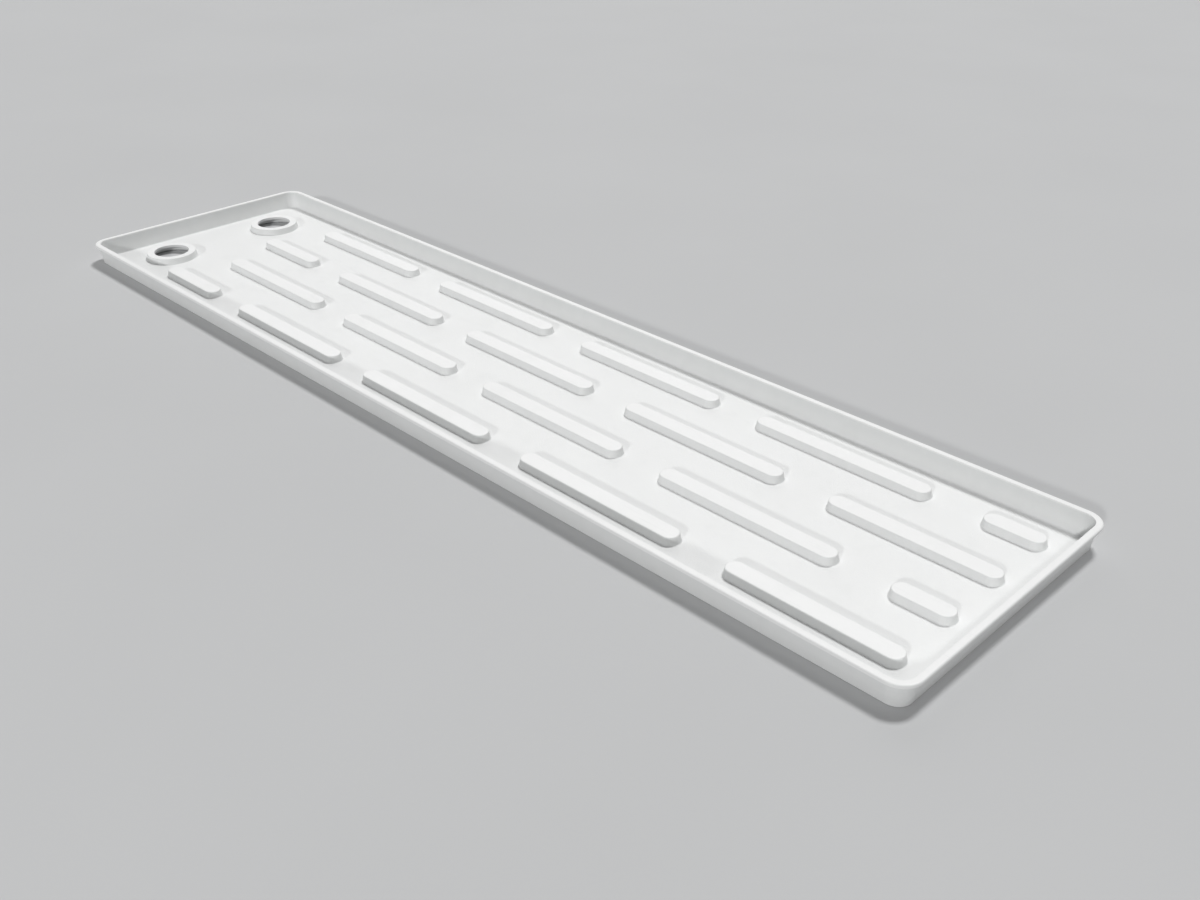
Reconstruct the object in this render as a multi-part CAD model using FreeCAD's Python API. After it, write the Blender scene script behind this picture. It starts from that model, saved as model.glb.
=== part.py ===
import FreeCAD, Part
import math
import os

# Hydroponic flood tray, moulded in one piece from a sheet of plastic: a drafted wall with
# a turned-out rim, a floor with staggered hollow ribs, and two hollow bosses with holes.
# Millimetres and degrees. The holes are at the -X end, and +Z points up.
# The origin is the middle of the underside.

# Tray outline and sheet
tray_length = 1220.0
tray_width = 305.0
tray_height = 25.0
sheet = 3.0

# Wall and rim
rim_overhang = 3.2
rim_edge_radius = 1.5
rim_inner_radius = 0.45
rim_root_radius = 0.8
wall_draft = 7.5
floor_fillet = 2.0
floor_corner_radius = 11.0
bottom_edge_radius = 0.4

# Raised ribs, each a stadium in plan, in columns along the tray
rib_height = 8.0
rib_base_width = 21.2
rib_draft = 10.5
rib_top_radius = 1.2
rib_base_radius = 1.2
rib_straight = 173.0
rib_pitch = 245.0
column_spacing = 70.0
column_stagger = 135.0

# Places along the tray: from the end with the holes, and from the far end
first_rib_from_end = 296.0
short_rib_from_end = 130.0
short_rib_straight = 89.0
last_rib_from_far_end = 41.0

# Raised bosses with the fill hole and the drain hole
hole_diameter = 43.0
boss_height = 7.5
boss_base_diameter = 63.6
boss_draft = 12.5
boss_edge_radius = 0.5
boss_from_end = 65.0
boss_from_side = 76.5

# Inner corner round the ceiling of the pockets under ribs and bosses
pocket_corner_radius = 0.8


def slope(draft):
    return math.tan(math.radians(draft))


def level_sheet(draft):
    """Width of the sheet, cut level, in a wall with this draft."""
    return sheet / math.cos(math.radians(draft))


# Wall line: how far the inner face of the wall stands in from the tray's edge
rim_width = rim_overhang + level_sheet(wall_draft)


def inner_face(z):
    return rim_width + (tray_height - z) * slope(wall_draft)


def outer_face(z):
    return inner_face(z) - level_sheet(wall_draft)


floor_edge = inner_face(sheet) + floor_fillet
corner_radius = inner_face(sheet) + floor_corner_radius
straight_length = tray_length - 2 * corner_radius
straight_width = tray_width - 2 * corner_radius


def rounded_wire(corners, place):
    """Closed wire through corners (a, b, radius), put in space by place(a, b)."""
    edges = []
    runs = []
    for index, (a, b, radius) in enumerate(corners):
        here = FreeCAD.Vector(a, b, 0)
        before = FreeCAD.Vector(*corners[index - 1][:2], 0)
        after = FreeCAD.Vector(*corners[(index + 1) % len(corners)][:2], 0)
        back = (before - here).normalize()
        ahead = (after - here).normalize()
        if radius == 0:
            runs.append((here, here))
            continue
        half_angle = back.getAngle(ahead) / 2
        run = radius / math.tan(half_angle)
        middle = (back + ahead).normalize()
        top = here + middle * (radius / math.sin(half_angle) - radius)
        runs.append((here + back * run, here + ahead * run))
        points = [place(point.x, point.y) for point in (runs[-1][0], top, runs[-1][1])]
        edges.append(Part.Arc(*points).toShape())
    for index, (start, end) in enumerate(runs):
        next_start = runs[(index + 1) % len(runs)][0]
        line = (place(end.x, end.y), place(next_start.x, next_start.y))
        edges.append(Part.makeLine(*line))
    return Part.Wire(Part.__sortEdges__(edges))


def section(corners, place):
    return Part.Face(rounded_wire(corners, place))


# Section of the rim, the wall and the edge of the floor: (distance in from the edge, height)
wall_corners = [
    (0, tray_height, rim_edge_radius),
    (rim_width, tray_height, rim_inner_radius),
    (inner_face(sheet), sheet, floor_fillet),
    (floor_edge, sheet, 0),
    (floor_edge, 0, 0),
    (outer_face(0), 0, bottom_edge_radius),
    (outer_face(tray_height - sheet), tray_height - sheet, rim_root_radius),
    (0, tray_height - sheet, 0),
]


def straight_wall(length, reach, turn):
    """One side of the tray, its edge at this reach from the middle, turned about Z."""
    face = section(wall_corners, lambda inset, z: FreeCAD.Vector(-length / 2, inset - reach, z))
    side = face.extrude(FreeCAD.Vector(length, 0, 0))
    side.rotate(FreeCAD.Vector(), FreeCAD.Vector(0, 0, 1), turn)
    return side


def corner_wall(x, y, turn):
    """One corner of the tray, turned round its own centre."""
    face = section(wall_corners, lambda inset, z: FreeCAD.Vector(0, inset - corner_radius, z))
    corner = face.revolve(FreeCAD.Vector(), FreeCAD.Vector(0, 0, 1), 90)
    corner.rotate(FreeCAD.Vector(), FreeCAD.Vector(0, 0, 1), turn)
    corner.translate(FreeCAD.Vector(x, y, 0))
    return corner


def walls():
    x = straight_length / 2
    y = straight_width / 2
    sides = [
        straight_wall(straight_length, tray_width / 2, 0),
        straight_wall(straight_width, tray_length / 2, 90),
        straight_wall(straight_length, tray_width / 2, 180),
        straight_wall(straight_width, tray_length / 2, 270),
    ]
    corners = [
        corner_wall(x, -y, 0),
        corner_wall(x, y, 90),
        corner_wall(-x, y, 180),
        corner_wall(-x, -y, 270),
    ]
    return sides + corners


def raised_corners(base, height, draft, top_radius, base_radius):
    """Section of the sheet where it rises: (distance from the middle, height), outside then inside."""
    outside = [
        (base + sheet, 0, 0),
        (base + sheet, sheet, 0),
        (base, sheet, base_radius),
        (base - height * slope(draft), sheet + height, top_radius),
    ]
    mouth = base + sheet * slope(draft) - level_sheet(draft)
    inside = [
        (mouth - height * slope(draft), height, pocket_corner_radius),
        (mouth, 0, base_radius + sheet),
    ]
    return outside, inside


def mirrored(corners):
    return [(-a, b, radius) for a, b, radius in reversed(corners)]


rib_base = rib_base_width / 2
rib_outside, rib_inside = raised_corners(rib_base, rib_height, rib_draft, rib_top_radius, rib_base_radius)
boss_outside, boss_inside = raised_corners(boss_base_diameter / 2, boss_height, boss_draft, boss_edge_radius, 0)
rib_footprint = rib_outside[0][0]
boss_footprint = boss_outside[0][0]


def rib(start, end, y):
    """Hollow rib between the centres of its two rounded ends, with the floor close round it."""
    across = rib_outside + mirrored(rib_outside) + mirrored(rib_inside) + rib_inside
    face = section(across, lambda a, z: FreeCAD.Vector(start, y + a, z))
    pieces = [face.extrude(FreeCAD.Vector(end - start, 0, 0))]
    half = rib_outside + [(0, sheet + rib_height, 0), (0, rib_height, 0)] + rib_inside
    for x, side in ((start, 1), (end, -1)):
        face = section(half, lambda a, z: FreeCAD.Vector(x, y + side * a, z))
        pieces.append(face.revolve(FreeCAD.Vector(x, y, 0), FreeCAD.Vector(0, 0, 1), 180))
    return pieces


def boss(x, y):
    """Hollow boss with its hole, and the floor close round it."""
    radius = hole_diameter / 2
    corners = boss_outside + [(radius, sheet + boss_height, 0), (radius, boss_height, 0)] + boss_inside
    face = section(corners, lambda a, z: FreeCAD.Vector(x + a, y, z))
    return face.revolve(FreeCAD.Vector(x, y, 0), FreeCAD.Vector(0, 0, 1), 360)


def column_places():
    """Y of each column: as many as fit across the floor."""
    room = tray_width - 2 * (floor_edge + rib_footprint)
    count = int(room // column_spacing) + 1
    return [(index - (count - 1) / 2) * column_spacing for index in range(count)]


def rib_places():
    """(start, end, y) of each rib. The columns take turns at two patterns."""
    hole_end = -tray_length / 2
    last_end = tray_length / 2 - last_rib_from_far_end
    places = []
    for index, y in enumerate(column_places()):
        start = hole_end + first_rib_from_end
        if index % 2 == 0:
            short_start = hole_end + short_rib_from_end
            places.append((short_start, short_start + short_rib_straight, y))
        else:
            start -= column_stagger
        while start < last_end:
            places.append((start, min(start + rib_straight, last_end), y))
            start += rib_pitch
    return places


def stadium(start, end, y, radius):
    """Outline with straight sides and round ends, on the underside."""
    near = [FreeCAD.Vector(start, y - radius, 0), FreeCAD.Vector(end, y - radius, 0)]
    far = [FreeCAD.Vector(end, y + radius, 0), FreeCAD.Vector(start, y + radius, 0)]
    edges = [
        Part.makeLine(*near),
        Part.Arc(near[1], FreeCAD.Vector(end + radius, y, 0), far[0]).toShape(),
        Part.makeLine(*far),
        Part.Arc(far[1], FreeCAD.Vector(start - radius, y, 0), near[0]).toShape(),
    ]
    return Part.Wire(edges)


def floor(ribs, bosses):
    """Flat floor inside the walls, open where the ribs and bosses go."""
    x = tray_length / 2 - floor_edge
    y = tray_width / 2 - floor_edge
    radius = corner_radius - floor_edge
    corners = [(-x, -y, radius), (x, -y, radius), (x, y, radius), (-x, y, radius)]
    outline = section(corners, lambda a, b: FreeCAD.Vector(a, b, 0))
    holes = [Part.Face(stadium(*place, rib_footprint)) for place in ribs]
    for x, y in bosses:
        ring = Part.makeCircle(boss_footprint, FreeCAD.Vector(x, y, 0))
        holes.append(Part.Face(Part.Wire(ring)))
    return outline.cut(holes).extrude(FreeCAD.Vector(0, 0, sheet))


def flood_tray():
    boss_x = boss_from_end - tray_length / 2
    boss_y = tray_width / 2 - boss_from_side
    bosses = [(boss_x, -boss_y), (boss_x, boss_y)]
    ribs = rib_places()
    pieces = walls()
    for place in ribs:
        pieces += rib(*place)
    for place in bosses:
        pieces.append(boss(*place))
    return floor(ribs, bosses).multiFuse(pieces).removeSplitter()


os.makedirs("parts", exist_ok=True)
tray = flood_tray()
tray.exportStep("parts/flood_tray.step")

print("solids", len(tray.Solids), "faces", len(tray.Faces), "valid", tray.isValid())
print("volume in cm3", round(tray.Volume / 1000, 1))
print("bounds", tray.BoundBox)
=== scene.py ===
import math

import bmesh
import bpy
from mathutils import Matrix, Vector

# Hydroponic flood tray in white moulded sheet, lying on a pale studio floor.
# Metres. The holes are at the -X end, and the tray's underside is at Z = 0.

# Heights on the tray
boss_top = 0.0105
rim_underside = 0.022
rim_top = 0.025

# Outline: half the length and width between the rounded corners, the radius there, and the rim's width
straight_half = (0.58988, 0.13238, 0)
corner_radius = 0.02012
rim_width = 0.00623

# Where one finish fades into the next, and where rubbing sets in
wall_fade = 0.0003
underside_fade = 0.0002
crest_rub = (boss_top - 0.0006, boss_top - 0.0001)
rim_rub = (rim_top - 0.0016, rim_top - 0.0004)
steep_to_level = (0.90, 0.99)

# Colours of the sheet
clean_white = (0.94, 0.943, 0.94, 1)
cloudy_white = (0.89, 0.895, 0.89, 1)
dull_white = (0.84, 0.85, 0.84, 1)
# Painted shade: the darker colour that walls, the floor and the wall under the rim are blended towards
shade_white = (0.766, 0.779, 0.775, 1)
scuffed_white = (0.80, 0.81, 0.81, 1)
patch_strength = 0.2
scuff_strength = 0.35

# Painted shade in the colour: a little on the floor, and more and unevenly on steep faces. From the
# last height up to the rim it grows further, as painted shade under the lip.
floor_shade = 0.26
steep_shade = 0.11
uneven_shade = 0.3
under_rim_shade = 0.35
under_rim_shade_start = 0.009

# Roughness of the satin surface, what each of these adds, and what rubbing takes away
satin = 0.34
cloud_dullness = 0.10
fine_cloud_dullness = 0.06
patch_dullness = 0.08
hair_dullness = 0.08
polish = 0.06

# Bending of light in the plastic
refraction = 1.5

# Relief of the sheet
wave_depth = 0.0014
pit_depth = 0.00016
hair_depth = 0.000045
scratch_depth = 0.00001

# Camera: level horizon, looking over the corner at +X and -Y
camera_place = Vector((0.9163, -0.7542, 0.5865))
camera_turn = 45.0
camera_tilt = 30.0
photo_width = 1200
focal_pixels = 1236.4
sensor_width = 36.0

# Studio
floor_radius = 14.0
floor_gap = 0.0003
floor_sides = 96
floor_grey = (0.58, 0.585, 0.59)
floor_mottle = 0.03
stipple_depth = 0.00006
backdrop_grey = (0.57, 0.575, 0.58)
room_light = 0.18

# Lamps: the way the light comes from, the soft spread in degrees, and the strength
high_lamp = ((-0.2, 1.2, 2.6), 12, 1.87)
low_front_lamp = ((0.85, -2.5, 1.1), 4, 1.18)
sheen_lamp = ((-2.2, 2.2, 1.9), 40, 0.35)


class Value:
    """A node's socket, so that shader maths reads as arithmetic."""

    def __init__(self, nodes, socket):
        self.nodes = nodes
        self.socket = socket

    def maths(self, operation, first, second):
        return self.nodes.node("ShaderNodeMath", {"operation": operation}, {0: first, 1: second})

    def __add__(self, other):
        return self.maths("ADD", self, other)

    def __radd__(self, other):
        return self.maths("ADD", other, self)

    def __sub__(self, other):
        return self.maths("SUBTRACT", self, other)

    def __rsub__(self, other):
        return self.maths("SUBTRACT", other, self)

    def __mul__(self, other):
        return self.maths("MULTIPLY", self, other)

    def __rmul__(self, other):
        return self.maths("MULTIPLY", other, self)


class Nodes:
    """The nodes of one material or of the room."""

    def __init__(self, tree):
        self.tree = tree

    def feed(self, socket, value):
        """Links a value to a socket, or sets it there."""
        if isinstance(value, Value):
            self.tree.links.new(value.socket, socket)
        else:
            socket.default_value = value

    def node(self, kind, settings, inputs, output=0):
        """Adds a node with these settings and these values or links on its sockets."""
        node = self.tree.nodes.new(kind)
        for name, value in settings.items():
            setattr(node, name, value)
        for name, value in inputs.items():
            self.feed(node.inputs[name], value)
        return Value(self, node.outputs[output])

    def larger(self, first, second):
        return self.node("ShaderNodeMath", {"operation": "MAXIMUM"}, {0: first, 1: second})


class Finish(Nodes):
    """One material."""

    def __init__(self, name):
        self.material = bpy.data.materials.new(name)
        self.material.use_nodes = True
        super().__init__(self.material.node_tree)

    def surface(self, inputs):
        """Sets the shader's own sockets."""
        shader = self.tree.nodes["Principled BSDF"]
        for name, value in inputs.items():
            self.feed(shader.inputs[name], value)

    def place(self, stretch=(1, 1, 1)):
        """Object coordinates, scaled along the axes."""
        inside = self.node("ShaderNodeTexCoord", {}, {}, "Object")
        return self.node("ShaderNodeMapping", {}, {"Vector": inside, "Scale": stretch})

    def noise(self, place, scale, detail=2.0, roughness=0.5, distortion=0.0):
        inputs = {
            "Vector": place,
            "Scale": scale,
            "Detail": detail,
            "Roughness": roughness,
            "Distortion": distortion,
        }
        return self.node("ShaderNodeTexNoise", {}, inputs, "Fac")

    def ramp(self, value, low, high):
        """0 below low and 1 above high, with a smooth step between."""
        settings = {"interpolation_type": "SMOOTHSTEP"}
        inputs = {"Value": value, "From Min": low, "From Max": high}
        return self.node("ShaderNodeMapRange", settings, inputs)

    def vector(self, operation, first, second=(0, 0, 0)):
        inputs = {0: first, 1: second}
        return self.node("ShaderNodeVectorMath", {"operation": operation}, inputs, "Vector")

    def creases(self, noise, width):
        """Thin winding lines where the noise passes its middle."""
        away = self.node("ShaderNodeMath", {"operation": "ABSOLUTE"}, {0: noise - 0.5})
        return 1 - self.ramp(away, 0.0, width)

    def blend(self, share, first, second):
        """Goes from the first colour to the second."""
        return self.node("ShaderNodeMix", {"data_type": "RGBA"}, {0: share, 6: first, 7: second}, 2)

    def bump(self, height, distance, under=None):
        """Relief this deep in metres, over the relief under it."""
        inputs = {"Height": height, "Distance": distance}
        if under is not None:
            inputs["Normal"] = under
        return self.node("ShaderNodeBump", {}, inputs, "Normal")


def levelness(finish):
    """1 on a level face, looking up or down, and 0 on a steep one."""
    direction = finish.vector("ABSOLUTE", finish.node("ShaderNodeNewGeometry", {}, {}, "Normal"))
    upright = finish.node("ShaderNodeSeparateXYZ", {}, {0: direction}, "Z")
    return finish.ramp(upright, *steep_to_level)


def outward(finish, place):
    """How far out a point is, up to the corners' radius at the tray's edge."""
    flat = finish.vector("MULTIPLY", finish.vector("ABSOLUTE", place), (1, 1, 0))
    over = finish.vector("MAXIMUM", finish.vector("SUBTRACT", flat, straight_half), (0, 0, 0))
    return finish.node("ShaderNodeVectorMath", {"operation": "LENGTH"}, {0: over}, "Value")


def rim_share(finish, place, height):
    """1 on the rim, and 0 on the walls and the floor."""
    rim_start = corner_radius - rim_width
    over_wall = finish.ramp(outward(finish, place), rim_start - wall_fade, rim_start)
    return over_wall * finish.ramp(height, rim_underside - underside_fade, rim_underside)


def crest_share(finish, height, level):
    """1 on the tops of ribs and bosses."""
    return finish.ramp(height, *crest_rub) * level


def fine_scratches(finish):
    """Hair-fine scratches along the tray, and fainter ones across it."""
    along = finish.noise(finish.place(stretch=(14, 900, 900)), scale=1.0, detail=3.0)
    across = finish.noise(finish.place(stretch=(700, 30, 700)), scale=1.0, detail=3.0)
    faint = 0.6
    return finish.ramp(along, 0.64, 0.70) + finish.ramp(across, 0.68, 0.74) * faint


def moulded_sheet():
    """Satin white sheet: the mould's fine grain, slow waves, a polish on what things rub, and painted
    shade on walls and floor.
    """
    finish = Finish("satin_white_sheet")
    place = finish.place()
    height = finish.node("ShaderNodeSeparateXYZ", {}, {0: place}, "Z")
    level = levelness(finish)
    rim = rim_share(finish, place, height)
    crest = crest_share(finish, height, level)
    scratches = fine_scratches(finish)

    # What pots and hands rub: the tops of ribs and bosses, and the top of the rim
    rubbed = finish.larger(crest, finish.ramp(height, *rim_rub))

    # Cloudiness of the sheet, and duller patches
    clouds = finish.noise(place, scale=9.0, detail=4.0, roughness=0.6)
    fine_clouds = finish.noise(place, scale=70.0, detail=3.0)
    patches = finish.noise(place, scale=24.0, detail=5.0, roughness=0.65)
    dull = finish.ramp(patches, 0.54, 0.66)

    # Painted shade: steep faces most and more just under the rim, the floor a little, and the crests
    # and the rim not at all
    under_rim_shade_ramp = finish.ramp(height, under_rim_shade_start, rim_underside)
    steep = steep_shade + fine_clouds * uneven_shade + under_rim_shade_ramp * under_rim_shade
    painted_shade = (1 - rim) * ((1 - crest) * floor_shade + (1 - level) * steep)

    white = finish.blend(clouds, clean_white, cloudy_white)
    patched = finish.blend(dull * patch_strength, white, dull_white)
    # Painted shade blended into the colour of walls, floor and the wall under the rim
    shaded = finish.blend(painted_shade, patched, shade_white)
    worn = finish.blend(rubbed * scratches * scuff_strength, shaded, scuffed_white)

    # Grain: winding hair-like creases among finer pits
    winding = finish.noise(place, scale=450.0, detail=3.0, roughness=0.6, distortion=0.5)
    hairs = finish.creases(winding, width=0.08)
    pits = finish.noise(place, scale=620.0, detail=3.0, roughness=0.65)

    clouded = satin + clouds * cloud_dullness + fine_clouds * fine_cloud_dullness
    dullness = clouded + dull * patch_dullness + hairs * hair_dullness - rubbed * polish

    # Relief, coarse to fine: slow waves, pits, hairs, and scratches that are deepest where things rub
    wavy = finish.bump(finish.noise(place, scale=5.0, detail=1.0), wave_depth)
    pitted = finish.bump(pits, pit_depth, wavy)
    grained = finish.bump(hairs * (1 - rubbed * 0.5), -hair_depth, pitted)
    scored = finish.bump(scratches * (0.3 + rubbed * 0.7), -scratch_depth, grained)
    finish.surface({"Base Color": worn, "Roughness": dullness, "Normal": scored, "IOR": refraction})
    return finish.material


def studio_floor():
    """Pale painted floor, all but even."""
    finish = Finish("pale_floor_paint")
    place = finish.place()
    mottle = finish.noise(place, scale=2.5, detail=4.0)
    stipple = finish.noise(place, scale=260.0)
    lighter = tuple(part * (1 + floor_mottle) for part in floor_grey) + (1,)
    darker = tuple(part * (1 - floor_mottle) for part in floor_grey) + (1,)
    finish.surface({
        "Base Color": finish.blend(mottle, lighter, darker),
        "Roughness": 0.75 + mottle * 0.1,
        "Normal": finish.bump(stipple, stipple_depth),
        "Specular IOR Level": 0.15,
    })
    return finish.material


def lay_floor():
    shape = bmesh.new()
    bmesh.ops.create_circle(shape, cap_ends=True, segments=floor_sides, radius=floor_radius)
    bmesh.ops.translate(shape, verts=shape.verts, vec=(0, 0, -floor_gap))
    mesh = bpy.data.meshes.new("studio_floor")
    shape.to_mesh(mesh)
    shape.free()
    mesh.materials.append(studio_floor())
    floor = bpy.data.objects.new("studio_floor", mesh)
    bpy.context.scene.collection.objects.link(floor)


def light_room():
    """Even pale room: a backdrop for the camera and reflections, and a softer light on the tray."""
    world = bpy.data.worlds.new("studio_room")
    world.use_nodes = True
    bpy.context.scene.world = world
    room = Nodes(world.node_tree)
    seen = room.node("ShaderNodeLightPath", {}, {}, "Is Camera Ray")
    for ray in ("Is Glossy Ray", "Is Transmission Ray"):
        seen = room.larger(seen, room.node("ShaderNodeLightPath", {}, {}, ray))
    light = room.node("ShaderNodeBackground", {}, {"Color": (1, 1, 1, 1), "Strength": room_light})
    backdrop = room.node("ShaderNodeBackground", {}, {"Color": backdrop_grey + (1,), "Strength": 1})
    both = room.node("ShaderNodeMixShader", {}, {0: seen, 1: light, 2: backdrop})
    room.feed(world.node_tree.nodes["World Output"].inputs["Surface"], both)


def far_lamp(name, direction, spread, strength):
    """Soft lamp so far away that its light is even all over. It shines from this direction."""
    light = bpy.data.lights.new(name, "SUN")
    light.angle = math.radians(spread)
    light.energy = strength
    lamp = bpy.data.objects.new(name, light)
    lamp.rotation_euler = Vector(direction).to_track_quat("Z", "Y").to_euler()
    bpy.context.scene.collection.objects.link(lamp)


def light_tray():
    far_lamp("high_lamp", *high_lamp)
    far_lamp("low_front_lamp", *low_front_lamp)
    far_lamp("sheen_lamp", *sheen_lamp)


def set_camera():
    lens = bpy.data.cameras.new("studio_camera")
    lens.sensor_fit = "HORIZONTAL"
    lens.sensor_width = sensor_width
    lens.lens = sensor_width * focal_pixels / photo_width
    camera = bpy.data.objects.new("studio_camera", lens)
    camera.location = camera_place
    camera.rotation_euler = (math.radians(90 - camera_tilt), 0, math.radians(camera_turn))
    bpy.context.scene.collection.objects.link(camera)
    bpy.context.scene.camera = camera


def finish_tray(tray):
    sheet = moulded_sheet()
    for slot in tray.material_slots:
        slot.material = sheet


def make_scene(frame):
    bpy.context.scene.view_settings.view_transform = "Standard"
    finish_tray(frame["nodes"]["flood_tray"])
    lay_floor()
    light_room()
    light_tray()
    set_camera()


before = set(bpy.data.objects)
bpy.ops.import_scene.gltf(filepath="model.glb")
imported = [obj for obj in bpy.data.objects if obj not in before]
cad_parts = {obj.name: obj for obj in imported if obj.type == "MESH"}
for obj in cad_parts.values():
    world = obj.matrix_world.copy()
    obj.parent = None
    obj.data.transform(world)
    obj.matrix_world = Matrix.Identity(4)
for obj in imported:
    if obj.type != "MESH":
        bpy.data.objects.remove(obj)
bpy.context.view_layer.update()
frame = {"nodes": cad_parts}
make_scene(frame)
